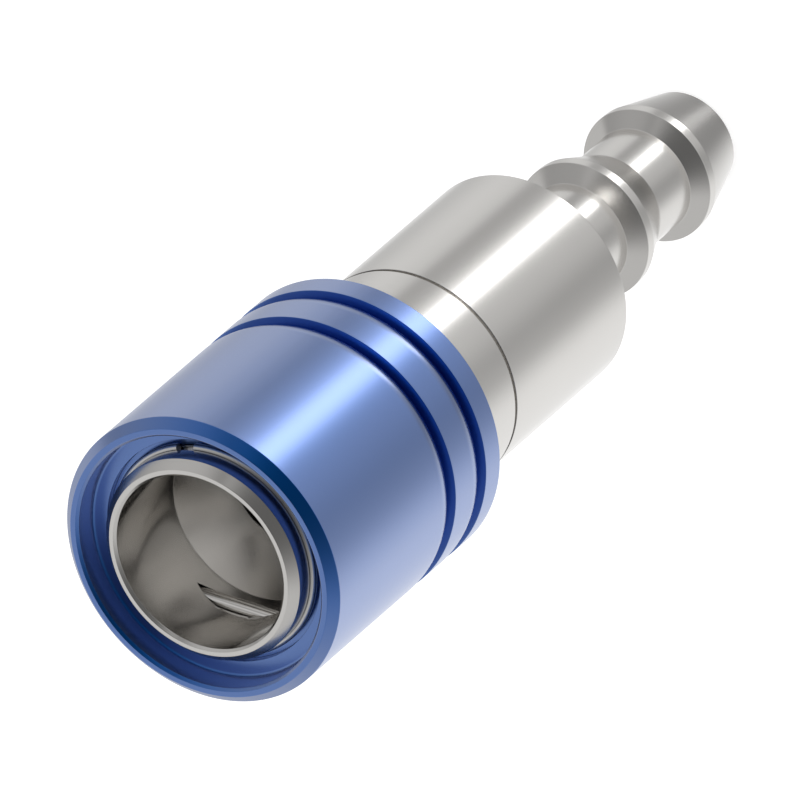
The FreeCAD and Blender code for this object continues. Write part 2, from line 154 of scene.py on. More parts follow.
class BodySizes(bpy.types.PropertyGroup):
    """Socket body."""
    barrel: length("Barrel", "Radius of the barrel behind the sleeve", reach("socket_body"))
    tube: length("Tube", "Radius of the tube under the sleeve", 8.35 * MM)
    tube_length: length("Tube length", "Shoulder to the front face", 23.16 * MM)
    tube_chamfer: length("Tube chamfer", "Outside edge of the tube's front face", 0.65 * MM)
    mouth: length("Bore", "Radius of the bore that takes the plug", 7.15 * MM)
    mouth_chamfer: length("Bore chamfer", "Inside edge of the tube's front face", 0.20 * MM)
    mouth_depth: length("Bore depth", "Front face to the cone", 8.38 * MM)
    cone_depth: length("Cone depth", "Length of the cone", 4.08 * MM)
    hole: length("Nose hole", "Radius of the hole that the poppet closes", 4.35 * MM)
    hole_length: length("Hole length", "Length of that hole", 3.60 * MM)
    nose_groove: length("Nose groove depth", "Start of the hole to its seal groove", 1.35 * MM)
    nose_groove_width: length("Nose groove width", "Width of that groove", 1.10 * MM)
    nose_groove_floor: length("Nose groove floor", "Radius of that groove's floor", 5.35 * MM)
    chamber: length("Chamber", "Radius of the chamber behind the seat", 6.20 * MM)
    spigot: length("Spigot", "Radius of the spigot in the tail", 7.95 * MM)
    spigot_length: length("Spigot length", "Seam to the spigot's end", 5.50 * MM)
    seal_rise: length("Tail seal rise", "End of the spigot to its seal groove", 0.70 * MM)
    seal_width: length("Tail seal groove", "Width of that groove", 0.86 * MM)
    seal_floor: length("Tail seal floor", "Radius of that groove's floor", 7.09 * MM)
    ring_depth: length("Ring depth", "Front face to the stop ring", 2.38 * MM)
    ring_groove: length("Ring groove", "Half the width of the stop ring's groove", 0.35 * MM)
    ring_floor: length("Ring groove floor", "Radius of that groove's floor", 8.08 * MM)
    slot_width: length("Slot width", "Width of a pin's slot", 1.28 * MM)
    slot_slope: angle("Slot slope", "Slope of the pins' slots against the axis", 45)
    wall_rings: count("Wall rings", "Rings along the bore's wall", 30)
    fine_radius: length("Fine radius", "The finer finish lies within this radius", 7.20 * MM)
    fine_level: length("Fine level", "The finer finish lies above this level", 64.0 * MM)


class TailSizes(bpy.types.PropertyGroup):
    """Hose tail."""
    barrel: length("Barrel", "Radius of the barrel below the seam", reach("hose_tail"))
    barrel_length: length("Barrel length", "Length of the barrel up to the seam", 16.67 * MM)
    barrel_edge: length("Barrel edge", "Chamfer of the barrel's rear face", 0.20 * MM)
    seam_width: length("Seam width", "Height of the shadow groove at the seam", 0.30 * MM)
    seam_depth: length("Seam depth", "Depth of that groove", 0.35 * MM)
    tip: length("Tip", "Radius of the end face", 4.10 * MM)
    tip_cone: length("Tip cone", "Length of the tip barb's lead-in cone", 5.24 * MM)
    tip_crest: length("Tip barb", "Crest of the barb nearest the tip", 5.52 * MM)
    land: length("Barb land", "Length of a barb's crest", 0.80 * MM)
    back: length("Barb back", "Length of a barb's back slope", 0.85 * MM)
    neck: length("Neck", "Radius of the tail beside the barbs", 4.30 * MM)
    tip_neck: length("Neck between barbs", "Length of the neck between the barbs", 4.51 * MM)
    inner_cone: length("Inner cone", "Length of the inner barb's cone", 3.35 * MM)
    inner_crest: length("Inner barb", "Crest of the inner barb", 5.66 * MM)
    bore: length("Coolant bore", "Radius of the coolant passage", 3.00 * MM)
    thread: length("Thread", "Radius of the bore that takes the spigot", 8.00 * MM)
    thread_length: length("Thread length", "Seam to the floor under the valve guide", 6.90 * MM)
    chamber: length("Chamber", "Radius of the chamber below the guide", 6.20 * MM)
    chamber_length: length("Chamber length", "Straight part of that chamber", 2.10 * MM)


class LockSizes(bpy.types.PropertyGroup):
    """Stop ring and locking pins."""
    ring_wire: length("Ring wire", "Wire radius of the stop ring", 0.32 * MM)
    ring_gap: length("Ring gap", "Opening between the stop ring's ends", 1.50 * MM)
    ring_turn: angle("Ring turn", "Direction of that opening about the axis", 187.3)
    pin_chamfer: length("Pin chamfer", "Edge of a pin's ends", 0.20 * MM)


class PoppetSizes(bpy.types.PropertyGroup):
    """Poppet valve."""
    nose: length("Nose", "Radius of the sealing nose", 4.20 * MM)
    edge: length("Face edge", "Chamfer round the poppet's face", 0.15 * MM)
    groove_floor: length("Groove floor", "Radius of the seal groove's floor", 3.40 * MM)
    groove_top: length("Groove top", "Face to the seal groove", 3.55 * MM)
    groove_width: length("Groove width", "Width of the seal groove", 0.90 * MM)
    cone: length("Cone start", "Radius at the top of the seat cone", 5.15 * MM)
    flange: length("Flange", "Radius of the flange", reach("valve_poppet"))
    rim: length("Rim", "Length of the flange's rim", 1.30 * MM)
    boss: length("Boss", "Radius of the boss under the flange", 2.10 * MM)
    boss_height: length("Boss height", "Height of that boss", 1.30 * MM)
    stem: length("Stem", "Radius of the stem", 1.40 * MM)


class FinishColours(bpy.types.PropertyGroup):
    """Colours and gloss of the finishes."""
    anodised: colour("Anodised blue", "Dyed oxide on the sleeve", "#0F69C6")
    anodised_deep: colour("Deeper blue", "Where the dye took a little more", "#0D66C1")
    steel: colour("Stainless steel", "Turned stainless steel", "#E0DEDB")
    steel_dull: colour("Duller steel", "Where the cut was a little rougher", "#DDDBD8")
    wire: colour("Spring wire", "Drawn stainless wire", "#DAD9D7")
    rubber: colour("Seal rubber", "Black seal rings", "#1A1A1B")
    rubber_bloom: colour("Rubber bloom", "Faint bloom on the rubber", "#2B2B2C")
    skin_gloss: plain("Skin gloss", "How soon the blue's skin pales at a slant", 1.75)
    floor: colour("Floor", "Pale studio floor", "#F2F2F2")


class StripLight(bpy.types.PropertyGroup):
    """Strip light of the studio, as it lies on the light tent."""
    azimuth: angle("Azimuth", "Direction of its middle from the camera", -27.0)
    elevation: angle("Elevation", "Height of its middle over the horizon", -46.2)
    half_height: angle("Half height", "From its middle to where its ends begin to fade", 23.0)
    end: angle("End", "From its middle to where it ends", 30.0)
    half_width: angle("Half width", "From its middle to where its sides begin to fade", 5.2)
    side: angle("Side", "From its middle to where its sides end", 7.9)
    tone: plain("Tone", "Brightness over the cloth's", 2.2)


class StudioSettings(bpy.types.PropertyGroup):
    """Camera and studio."""
    azimuth: angle("Camera azimuth", "Direction of the camera about the axis", 140.52)
    elevation: angle("Camera elevation", "Height of the camera over the horizon", 47.94)
    roll: angle("Camera roll", "Turn of the picture about the line of sight", 229.11)
    distance: length("Camera distance", "Camera to the point it looks at", 2654.7 * MM)
    target: FloatVectorProperty(name="Target", description="Point that the camera looks at",
                                default=(2.85 * MM, -1.55 * MM, 40.0 * MM), subtype="XYZ",
                                unit="LENGTH")
    lens: plain("Lens", "Focal length in millimetres", 1600.0)
    film: plain("Film width", "Width of the film in millimetres", 36.0)
    floor: length("Floor", "Radius of the floor", 4.0)
    tent: length("Tent", "Radius of the light tent", 600.0 * MM)
    tent_tone: plain("Tent tone", "Brightness of the tent's cloth", 0.613)
    plain_light: plain("Plain light", "Level of the light all round", 0.75)
    floor_lift: plain("Floor lift", "What brings the floor to white in view", 0.55)


def sizes(name):
    """One of the property groups as the scene holds it."""
    return getattr(bpy.context.scene, name)


def clear_selection():
    """Leave nothing selected, so that the next operator acts on the new piece alone."""
    for item in bpy.context.selected_objects:
        item.select_set(False)


def select_mesh(mode="VERT"):
    """Select the whole mesh in edit mode."""
    bpy.ops.mesh.select_mode(type=mode)
    bpy.ops.mesh.select_all(action="SELECT")


def arc(centre, radius, start, end, steps):
    """Points of an arc in the plane of radius and height, from one angle to another."""
    turns = [start + (end - start) / steps * step for step in range(steps + 1)]
    return [(centre[0] + radius * math.cos(turn), centre[1] + radius * math.sin(turn))
            for turn in turns]


def turn_piece(name, outline, closed=False):
    """Draw an outline of radius and height by extruding a point, and spin it round the axis."""
    clear_selection()
    bpy.ops.mesh.primitive_plane_add(size=MM, location=(0, 0, 0))
    piece = bpy.context.object
    piece.name = name
    bpy.ops.object.mode_set(mode="EDIT")
    select_mesh()
    bpy.ops.mesh.merge(type="CENTER")
    bpy.ops.transform.translate(value=(outline[0][0], 0, outline[0][1]))
    path = outline + outline[:1] if closed else outline
    for (r0, z0), (r1, z1) in pairwise(path):
        bpy.ops.mesh.extrude_region_move(TRANSFORM_OT_translate={"value": (r1 - r0, 0, z1 - z0)})
    select_mesh()
    bpy.ops.mesh.remove_doubles(threshold=WELD)
    bpy.ops.mesh.spin(steps=sizes("coupling_lathe").segments, angle=math.tau, center=(0, 0, 0),
                      axis=AXIS)
    select_mesh()
    bpy.ops.mesh.remove_doubles(threshold=WELD)
    bpy.ops.mesh.normals_make_consistent(inside=False)
    bpy.ops.object.mode_set(mode="OBJECT")
    return piece


def apply_modifier(piece, kind, **settings):
    """Add a modifier with its settings and apply it."""
    bpy.context.view_layer.objects.active = piece
    modifier = piece.modifiers.new(kind.title(), kind)
    for name, value in settings.items():
        setattr(modifier, name, value)
    bpy.ops.object.modifier_apply(modifier=modifier.name)


def break_edges(piece):
    """Give every turned edge the tiny bevel that a lathe hand leaves."""
    lathe = sizes("coupling_lathe")
    apply_modifier(piece, "BEVEL", width=lathe.edge, segments=lathe.edge_steps,
                   limit_method="ANGLE", angle_limit=lathe.edge_angle, use_clamp_overlap=True)


def smooth(piece):
    """Smooth shading that keeps flat faces flat and sharp edges sharp."""
    clear_selection()
    piece.select_set(True)
    bpy.context.view_layer.objects.active = piece
    bpy.ops.object.shade_smooth_by_angle(angle=sizes("coupling_lathe").sharp_angle)
    # The weights tell areas apart down to 0.01 of a unit squared, so the unit is a millimetre here
    resize(piece, 1 / MM)
    apply_modifier(piece, "WEIGHTED_NORMAL", weight=80, keep_sharp=True)
    resize(piece, MM)


def resize(piece, factor):
    """Make a piece at the origin larger or smaller."""
    piece.scale = (factor, factor, factor)
    bpy.ops.object.transform_apply(location=False, rotation=False, scale=True)


def dress(piece, material, body, node):
    """Finish a piece, set it on its body and let it stand for its CAD node."""
    piece.data.materials.clear()
    piece.data.materials.append(material)
    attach(piece, body)
    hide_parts(node)


def finish(name, build):
    """A material by name, built once."""
    material = bpy.data.materials.get(name)
    if material is None:
        material = bpy.data.materials.new(name)
        material.use_nodes = True
        material.node_tree.nodes.clear()
        build(material.node_tree)
    return material


def add_node(tree, kind, inputs=None, **settings):
    """Add a node with its settings; each input gets a value or a link from a node's socket."""
    made = tree.nodes.new(kind)
    for name, value in settings.items():
        setattr(made, name, value)
    for name, value in (inputs or {}).items():
        if isinstance(value, bpy.types.NodeSocket):
            tree.links.new(value, made.inputs[name])
        else:
            made.inputs[name].default_value = value
    return made


def mottle(tree, place, span, first, second):
    """Two colours that run into each other in patches of one width."""
    patches = add_node(tree, "ShaderNodeTexNoise", {
        "Vector": place.outputs["Object"], "Scale": 1 / span, "Detail": 2.0})
    return add_node(tree, "ShaderNodeMix", {
        "Factor": patches.outputs["Fac"], MIX_FIRST: first, MIX_SECOND: second}, data_type="RGBA")


def turning_marks(tree, place, pitch):
    """Faint marks of the turning tool, a pitch apart along the axis, and their relief."""
    squeeze = add_node(tree, "ShaderNodeMapping", {
        "Vector": place.outputs["Object"], "Scale": (1 / (50 * MM), 1 / (50 * MM), 1 / pitch)})
    marks = add_node(tree, "ShaderNodeTexNoise", {
        "Vector": squeeze.outputs["Vector"], "Scale": 1.0, "Detail": 1.0})
    relief = add_node(tree, "ShaderNodeBump", {
        "Height": marks.outputs["Fac"], "Strength": 0.006, "Distance": 0.01 * MM})
    return marks, relief


def anodised_nodes(tree):
    """Satin dyed oxide on turned aluminium: tinted metal, with a skin that pales at a slant."""
    colours = sizes("coupling_colours")
    place = add_node(tree, "ShaderNodeTexCoord")
    # Dye takes unevenly over patches of about 9 mm
    base = mottle(tree, place, 9 * MM, colours.anodised, colours.anodised_deep)
    # Turning marks are 0.05 mm apart on the real one and drawn 0.12 mm apart, to show at all
    marks, relief = turning_marks(tree, place, 0.12 * MM)
    rough = add_node(tree, "ShaderNodeMapRange", {
        "Value": marks.outputs["Fac"], "To Min": 0.28, "To Max": 0.32})
    # The skin's own gloss is faint from straight ahead and grows with the slant
    slant = add_node(tree, "ShaderNodeLayerWeight", {"Blend": 0.5})
    gloss = add_node(tree, "ShaderNodeMath", {0: slant.outputs["Facing"], 1: colours.skin_gloss},
                     operation="MULTIPLY", use_clamp=True)
    shader = add_node(tree, "ShaderNodeBsdfPrincipled", {
        "Base Color": base.outputs[MIX_COLOUR], "Metallic": 1.0,
        "Roughness": rough.outputs["Result"], "Normal": relief.outputs["Normal"],
        "Coat Weight": gloss.outputs["Value"], "Coat Roughness": 0.26, "Coat IOR": 4.0})
    add_node(tree, "ShaderNodeOutputMaterial", {"Surface": shader.outputs["BSDF"]})


def steel_nodes(tree):
    """Fine turned stainless steel: a warm grey satin whose highlight is soft across the cut."""
    colours = sizes("coupling_colours")
    body = sizes("coupling_body")
    place = add_node(tree, "ShaderNodeTexCoord")
    # The tool's finish wanders over about 6 mm
    base = mottle(tree, place, 6 * MM, colours.steel, colours.steel_dull)
    # Feed marks are 0.04 mm apart on the real one and drawn 0.1 mm apart, to show at all
    marks, relief = turning_marks(tree, place, 0.1 * MM)
    turned = add_node(tree, "ShaderNodeMapRange", {
        "Value": marks.outputs["Fac"], "To Min": 0.185, "To Max": 0.215})
    # The wall of the plug's bore is bored finer than the rest is turned
    across = add_node(tree, "ShaderNodeVectorMath", {
        0: place.outputs["Object"], 1: (1.0, 1.0, 0.0)}, operation="MULTIPLY")
    radius = add_node(tree, "ShaderNodeVectorMath", {0: across.outputs["Vector"]},
                      operation="LENGTH")
    inside = add_node(tree, "ShaderNodeMath", {
        0: radius.outputs["Value"], 1: body.fine_radius}, operation="LESS_THAN")
    height = add_node(tree, "ShaderNodeSeparateXYZ", {"Vector": place.outputs["Object"]})
    above = add_node(tree, "ShaderNodeMath", {
        0: height.outputs["Z"], 1: body.fine_level}, operation="GREATER_THAN")
    fine = add_node(tree, "ShaderNodeMath", {
        0: inside.outputs["Value"], 1: above.outputs["Value"]}, operation="MULTIPLY")
    rough = add_node(tree, "ShaderNodeMapRange", {
        "Value": fine.outputs["Value"], "To Min": turned.outputs["Result"], "To Max": 0.145})
    shader = add_node(tree, "ShaderNodeBsdfPrincipled", {
        "Base Color": base.outputs[MIX_COLOUR], "Metallic": 1.0,
        "Roughness": rough.outputs["Result"], "Normal": relief.outputs["Normal"]})
    add_node(tree, "ShaderNodeOutputMaterial", {"Surface": shader.outputs["BSDF"]})


def wire_nodes(tree):
    """Drawn stainless wire: an even, soft gloss."""
    colours = sizes("coupling_colours")
    place = add_node(tree, "ShaderNodeTexCoord")
    # Die scratches vary over about 1 mm of wire
    streaks = add_node(tree, "ShaderNodeTexNoise", {
        "Vector": place.outputs["Object"], "Scale": 1 / (1 * MM), "Detail": 3.0})
    rough = add_node(tree, "ShaderNodeMapRange", {
        "Value": streaks.outputs["Fac"], "To Min": 0.28, "To Max": 0.36})
    shader = add_node(tree, "ShaderNodeBsdfPrincipled", {
        "Base Color": colours.wire, "Metallic": 1.0, "Roughness": rough.outputs["Result"]})
    add_node(tree, "ShaderNodeOutputMaterial", {"Surface": shader.outputs["BSDF"]})


def ground_nodes(tree):
    """Centreless ground pin steel: the shiniest metal here, with faint rings from the wheel."""
    colours = sizes("coupling_colours")
    place = add_node(tree, "ShaderNodeTexCoord")
    # The wheel's rings are 0.02 mm apart on the real pin and drawn 0.2 mm apart
    rings = add_node(tree, "ShaderNodeTexNoise", {
        "Vector": place.outputs["Object"], "Scale": 1 / (0.2 * MM), "Detail": 2.0})
    rough = add_node(tree, "ShaderNodeMapRange", {
        "Value": rings.outputs["Fac"], "To Min": 0.07, "To Max": 0.12})
    shader = add_node(tree, "ShaderNodeBsdfPrincipled", {
        "Base Color": colours.steel, "Metallic": 1.0, "Roughness": rough.outputs["Result"]})
    add_node(tree, "ShaderNodeOutputMaterial", {"Surface": shader.outputs["BSDF"]})


def rubber_nodes(tree):
    """Moulded black seal rubber: matt, with a faint grey bloom."""
    colours = sizes("coupling_colours")
    place = add_node(tree, "ShaderNodeTexCoord")
    # Bloom lies in specks of about 0.4 mm
    bloom = add_node(tree, "ShaderNodeTexNoise", {
        "Vector": place.outputs["Object"], "Scale": 1 / (0.4 * MM), "Detail": 4.0})
    base = add_node(tree, "ShaderNodeMix", {
        "Factor": bloom.outputs["Fac"], MIX_FIRST: colours.rubber, MIX_SECOND: colours.rubber_bloom},
        data_type="RGBA")
    relief = add_node(tree, "ShaderNodeBump", {
        "Height": bloom.outputs["Fac"], "Strength": 0.1, "Distance": 0.01 * MM})
    shader = add_node(tree, "ShaderNodeBsdfPrincipled", {
        "Base Color": base.outputs[MIX_COLOUR], "Roughness": 0.6,
        "Normal": relief.outputs["Normal"]})
    add_node(tree, "ShaderNodeOutputMaterial", {"Surface": shader.outputs["BSDF"]})


def floor_nodes(tree):
    """Pale matt floor that the camera sees as white, with the object's soft shadow on it."""
    colours = sizes("coupling_colours")
    studio = sizes("coupling_studio")
    rays = add_node(tree, "ShaderNodeLightPath")
    lift = add_node(tree, "ShaderNodeMath", {
        0: rays.outputs["Is Camera Ray"], 1: studio.floor_lift}, operation="MULTIPLY")
    shader = add_node(tree, "ShaderNodeBsdfPrincipled", {
        "Base Color": colours.floor, "Roughness": 0.9, "Specular IOR Level": 0.0,
        "Emission Color": (1, 1, 1, 1), "Emission Strength": lift.outputs["Value"]})
    add_node(tree, "ShaderNodeOutputMaterial", {"Surface": shader.outputs["BSDF"]})


def tent_patch(tree, direction, name, azimuth, elevation, full, end, tone):
    """One round patch on the tent, full to one angle from its middle and gone at the other."""
    turn = sizes("coupling_studio").azimuth - azimuth
    middle = (math.cos(elevation) * math.cos(turn), math.cos(elevation) * math.sin(turn),
              math.sin(elevation))
    facing = add_node(tree, "ShaderNodeVectorMath", {0: direction.outputs["Vector"], 1: middle},
                      operation="DOT_PRODUCT", label=name)
    return add_node(tree, "ShaderNodeMapRange", {
        "Value": facing.outputs["Value"], "From Min": math.cos(end), "From Max": math.cos(full),
        "To Min": 0.0, "To Max": tone}, interpolation_type="SMOOTHSTEP")


def tent_nodes(tree):
    """Light tent of pale cloth: soft boxes and grey panels, each seen only in the metal's gloss.

    A panel has, in degrees, its azimuth from the camera, its elevation and the angles from its
    middle where it is full and where it ends, and then how much lighter than the cloth it is.
    """
    studio = sizes("coupling_studio")
    strip = sizes("coupling_strip")
    panels = (
        ("spill beside the strip", -18.8, -38.0, 7.7, 44.0, 0.29),
        ("white board beside the camera", 118.0, -42.5, 16.0, 44.0, 0.38),
        ("pale board on the other side", -70.0, -6.4, 26.3, 72.2, 0.30),
        ("grey gap under the camera", -7.5, -73.0, 19.6, 48.1, -0.29),
        ("grey gap left of the strip", -59.2, -44.1, 2.4, 13.6, -0.40),
        ("dark space behind the camera", 13.1, 51.2, 0.6, 58.4, -0.48),
        ("grey wall on the left", -81.0, 5.7, 46.5, 50.6, -0.34),
        ("opening overhead", 180.0, 80.0, 6.0, 24.0, -0.60),
        ("pale cloth facing the camera", 180.0, 44.0, 12.0, 34.0, 0.11),
        ("pale cloth low behind", 180.0, -46.0, 3.0, 24.0, 0.35),
    )
    place = add_node(tree, "ShaderNodeTexCoord")
    direction = add_node(tree, "ShaderNodeVectorMath", {0: place.outputs["Object"]},
                         operation="NORMALIZE")
    total = add_node(tree, "ShaderNodeMath", {0: studio.tent_tone, 1: 0.0}, operation="ADD")
    for name, *angles, tone in panels:
        spread = tent_patch(tree, direction, name, *map(math.radians, angles), tone)
        total = add_node(tree, "ShaderNodeMath", {
            0: total.outputs["Value"], 1: spread.outputs["Result"]}, operation="ADD")
    # The strip light is a patch cut down to a narrow upright band
    patch = tent_patch(tree, direction, "strip light", strip.azimuth, strip.elevation,
                       strip.half_height, strip.end, strip.tone)
    turn = studio.azimuth - strip.azimuth
    aside = add_node(tree, "ShaderNodeVectorMath", {
        0: direction.outputs["Vector"], 1: (-math.sin(turn), math.cos(turn), 0.0)},
        operation="DOT_PRODUCT")
    aside = add_node(tree, "ShaderNodeMath", {0: aside.outputs["Value"]}, operation="ABSOLUTE")
    band = add_node(tree, "ShaderNodeMapRange", {
        "Value": aside.outputs["Value"], "From Min": math.sin(strip.side),
        "From Max": math.sin(strip.half_width), "To Min": 0.0, "To Max": 1.0},
        interpolation_type="SMOOTHSTEP")
    total = add_node(tree, "ShaderNodeMath", {
        0: patch.outputs["Result"], 1: band.outputs["Result"], 2: total.outputs["Value"]},
        operation="MULTIPLY_ADD")
    total = add_node(tree, "ShaderNodeMath", {0: total.outputs["Value"], 1: 0.0},
                     operation="MAXIMUM")
    light = add_node(tree, "ShaderNodeEmission", {
        "Color": (1, 1, 1, 1), "Strength": total.outputs["Value"]})
    add_node(tree, "ShaderNodeOutputMaterial", {"Surface": light.outputs["Emission"]})


def world_nodes(tree):
    """White background in view, in gloss and through glass, and a plain level of light."""
    studio = sizes("coupling_studio")
    rays = add_node(tree, "ShaderNodeLightPath")
    seen = add_node(tree, "ShaderNodeMath", {
        0: rays.outputs["Is Camera Ray"], 1: rays.outputs["Is Glossy Ray"]}, operation="MAXIMUM")
    seen = add_node(tree, "ShaderNodeMath", {
        0: seen.outputs["Value"], 1: rays.outputs["Is Transmission Ray"]}, operation="MAXIMUM")
    level = add_node(tree, "ShaderNodeMapRange", {
        "Value": seen.outputs["Value"], "To Min": studio.plain_light, "To Max": 1.0})
    light = add_node(tree, "ShaderNodeBackground", {
        "Color": (1, 1, 1, 1), "Strength": level.outputs["Result"]})
    add_node(tree, "ShaderNodeOutputWorld", {"Surface": light.outputs["Background"]})


class COUPLING_OT_release_sleeve(bpy.types.Operator):
    """Turn the blue release sleeve with its stepped mouth and two grip grooves"""
    bl_idname = "coupling.release_sleeve"
    bl_label = "Release Sleeve"

    def execute(self, context):
        s = sizes("coupling_sleeve")
        lathe = sizes("coupling_lathe")
        front = top("release_sleeve")
        back = foot("release_sleeve")
        wall = s.radius - s.chamfer - s.land - s.lead
        # A groove is deepest at the square wall at its back and rises forwards in an arc
        bend = (s.grip_run ** 2 + s.grip_depth ** 2) / (2 * s.grip_depth)
        sweep = math.asin(s.grip_run / bend)
        outline = [
            (s.bore + s.back_edge, back),
            (s.radius - s.back_edge, back),
            (s.radius, back + s.back_edge),
        ]
        for number in range(s.grips):
            level = back + s.back_band + s.grip_pitch * number
            outline.append((s.radius, level))
            centre = (s.radius - bend, level + s.grip_run)
            outline += arc(centre, bend, -sweep, 0.0, lathe.grip_steps)
        outline += [
            (s.radius, front - s.chamfer),
            (s.radius - s.chamfer, front),
            (wall + s.lead, front),
            (wall, front - s.lead),
        ]
        corner = (wall - s.recess_fillet, front - s.recess + s.recess_fillet)
        outline += arc(corner, s.recess_fillet, 0.0, -math.pi / 2, lathe.fillet_steps)
        outline += [
            (s.pocket, front - s.recess),
            (s.pocket, front - s.rib_top),
            (s.rib_bore, front - s.rib_top),
            (s.rib_bore, front - s.rib_foot),
            (s.cavity, front - s.rib_foot),
            (s.cavity, front - s.cavity_foot),
            (s.bore, front - s.cavity_foot),
            (s.bore, back + s.back_edge),
        ]
        piece = turn_piece("sleeve_turned", outline, closed=True)
        break_edges(piece)
        smooth(piece)
        material = finish("Satin blue anodised aluminium", anodised_nodes)
        dress(piece, material, "sleeve", "release_sleeve")
        return {"FINISHED"}


class COUPLING_OT_socket_body(bpy.types.Operator):
    """Turn the stainless tube and barrel and saw the two sloping pin slots"""
    bl_idname = "coupling.socket_body"
    bl_label = "Socket Body"

    def execute(self, context):
        s = sizes("coupling_body")
        front = top("socket_body")
        end = foot("socket_body")
        seam = end + s.spigot_length
        shoulder = front - s.tube_length
        cone_top = front - s.mouth_depth
        hole_top = cone_top - s.cone_depth
        seat = hole_top - s.hole_length
        ring = front - s.ring_depth
        groove = hole_top - s.nose_groove
        outline = [
            (s.chamber, end),
            (s.spigot, end),
            (s.spigot, end + s.seal_rise),
            (s.seal_floor, end + s.seal_rise),
            (s.seal_floor, end + s.seal_rise + s.seal_width),
            (s.spigot, end + s.seal_rise + s.seal_width),
            (s.spigot, seam),
            (s.barrel, seam),
            (s.barrel, shoulder),
            (s.tube, shoulder),
            (s.tube, ring - s.ring_groove),
            (s.ring_floor, ring - s.ring_groove),
            (s.ring_floor, ring + s.ring_groove),
            (s.tube, ring + s.ring_groove),
            (s.tube, front - s.tube_chamfer),
            (s.tube - s.tube_chamfer, front),
            (s.mouth + s.mouth_chamfer, front),
            *self.ringed_wall(s, front - s.mouth_chamfer, cone_top),
            (s.hole, hole_top),
            (s.hole, groove),
            (s.nose_groove_floor, groove),
            (s.nose_groove_floor, groove - s.nose_groove_width),
            (s.hole, groove - s.nose_groove_width),
            (s.hole, seat),
            (s.chamber, seat - s.chamber + s.hole),
        ]
        piece = turn_piece("body_turned", outline, closed=True)
        break_edges(piece)
        for side, node in ((1, "locking_pin_1"), (-1, "locking_pin_2")):
            self.saw_slot(piece, s, side, node)
        smooth(piece)
        material = finish("Turned stainless steel", steel_nodes)
        dress(piece, material, "root", "socket_body")
        return {"FINISHED"}

    def ringed_wall(self, s, high, low):
        """The bore's wall in short rings, so that the slots' cuts leave its shading even."""
        step = (high - low) / s.wall_rings
        return [(s.mouth, high - step * ring) for ring in range(s.wall_rings + 1)]

    def saw_slot(self, piece, s, side, node):
        """One straight cut through the tube's wall, sloping outwards and back from the pin."""
        low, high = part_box(node)
        run = s.tube
        slope = Vector((side * math.sin(s.slot_slope), 0.0, -math.cos(s.slot_slope)))
        middle = (low + high) / 2 + slope * (run - s.slot_width) / 2
        tilt = side * (math.pi / 2 - s.slot_slope)
        clear_selection()
        bpy.ops.mesh.primitive_cube_add(size=1, location=middle, rotation=(0, tilt, 0),
                                        scale=(run, s.tube * 2, s.slot_width))
        saw = bpy.context.object
        bpy.ops.object.transform_apply(location=True, rotation=True, scale=True)
        apply_modifier(piece, "BOOLEAN", operation="DIFFERENCE", object=saw, solver="EXACT")
        bpy.data.objects.remove(saw)


class COUPLING_OT_hose_tail(bpy.types.Operator):
    """Turn the stainless hose tail with its barrel, neck and two barbs"""
    bl_idname = "coupling.hose_tail"
    bl_label = "Hose Tail"

    def execute(self, context):
        s = sizes("coupling_tail")
        seam = top("hose_tail")
        tip_land = s.tip_cone + s.land
        tip_root = tip_land + s.back
        inner_start = tip_root + s.tip_neck
        inner_crest = inner_start + s.inner_cone
        inner_land = inner_crest + s.land
        rear = seam - s.barrel_length
        floor = seam - s.thread_length
        chamber = floor - s.chamber_length
        outline = [
            (s.bore, 0.0),
            (s.tip, 0.0),
            (s.tip_crest, s.tip_cone),
            (s.tip_crest, tip_land),
            (s.neck, tip_root),
            (s.neck, inner_start),
            (s.inner_crest, inner_crest),
            (s.inner_crest, inner_land),
            (s.neck, inner_land + s.back),
            (s.neck, rear),
            (s.barrel - s.barrel_edge, rear),
            (s.barrel, rear + s.barrel_edge),
            (s.barrel, seam - s.seam_width),
            (s.barrel - s.seam_depth, seam - s.seam_width),
            (s.barrel - s.seam_depth, seam),
            (s.thread, seam),
            (s.thread, floor),
            (s.chamber, floor),
            (s.chamber, chamber),
            (s.bore, chamber - s.chamber + s.bore),
        ]
        piece = turn_piece("tail_turned", outline, closed=True)
        break_edges(piece)
        smooth(piece)
        material = finish("Turned stainless steel", steel_nodes)
        dress(piece, material, "root", "hose_tail")
        return {"FINISHED"}


class COUPLING_OT_stop_ring(bpy.types.Operator):
    """Bend the split wire ring that stops the sleeve"""
    bl_idname = "coupling.stop_ring"
    bl_label = "Stop Ring"

    def execute(self, context):
        s = sizes("coupling_lock")
        lathe = sizes("coupling_lathe")
        low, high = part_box("sleeve_stop_ring")
        level = (low.z + high.z) / 2
        mean = high.x - s.ring_wire
        opening = s.ring_gap / mean
        start = s.ring_turn + opening / 2
        clear_selection()
        place = (mean * math.cos(start), mean * math.sin(start), level)
        bpy.ops.mesh.primitive_circle_add(vertices=lathe.wire_sides, radius=s.ring_wire,
                                          fill_type="NGON", location=place,
                                          rotation=(math.pi / 2, 0, start))
        piece = bpy.context.object
        piece.name = "ring_bent"
        bpy.ops.object.transform_apply(location=True, rotation=True, scale=True)
        bpy.ops.object.mode_set(mode="EDIT")
        select_mesh("FACE")
        bpy.ops.mesh.spin(steps=lathe.segments, angle=math.tau - opening, center=(0, 0, 0),
                          axis=AXIS, use_auto_merge=False)
        select_mesh()
        bpy.ops.mesh.remove_doubles(threshold=WELD)
        bpy.ops.mesh.normals_make_consistent(inside=False)
        bpy.ops.object.mode_set(mode="OBJECT")
        break_edges(piece)
        smooth(piece)
        material = finish("Drawn stainless wire", wire_nodes)
        dress(piece, material, "root", "sleeve_stop_ring")
        return {"FINISHED"}


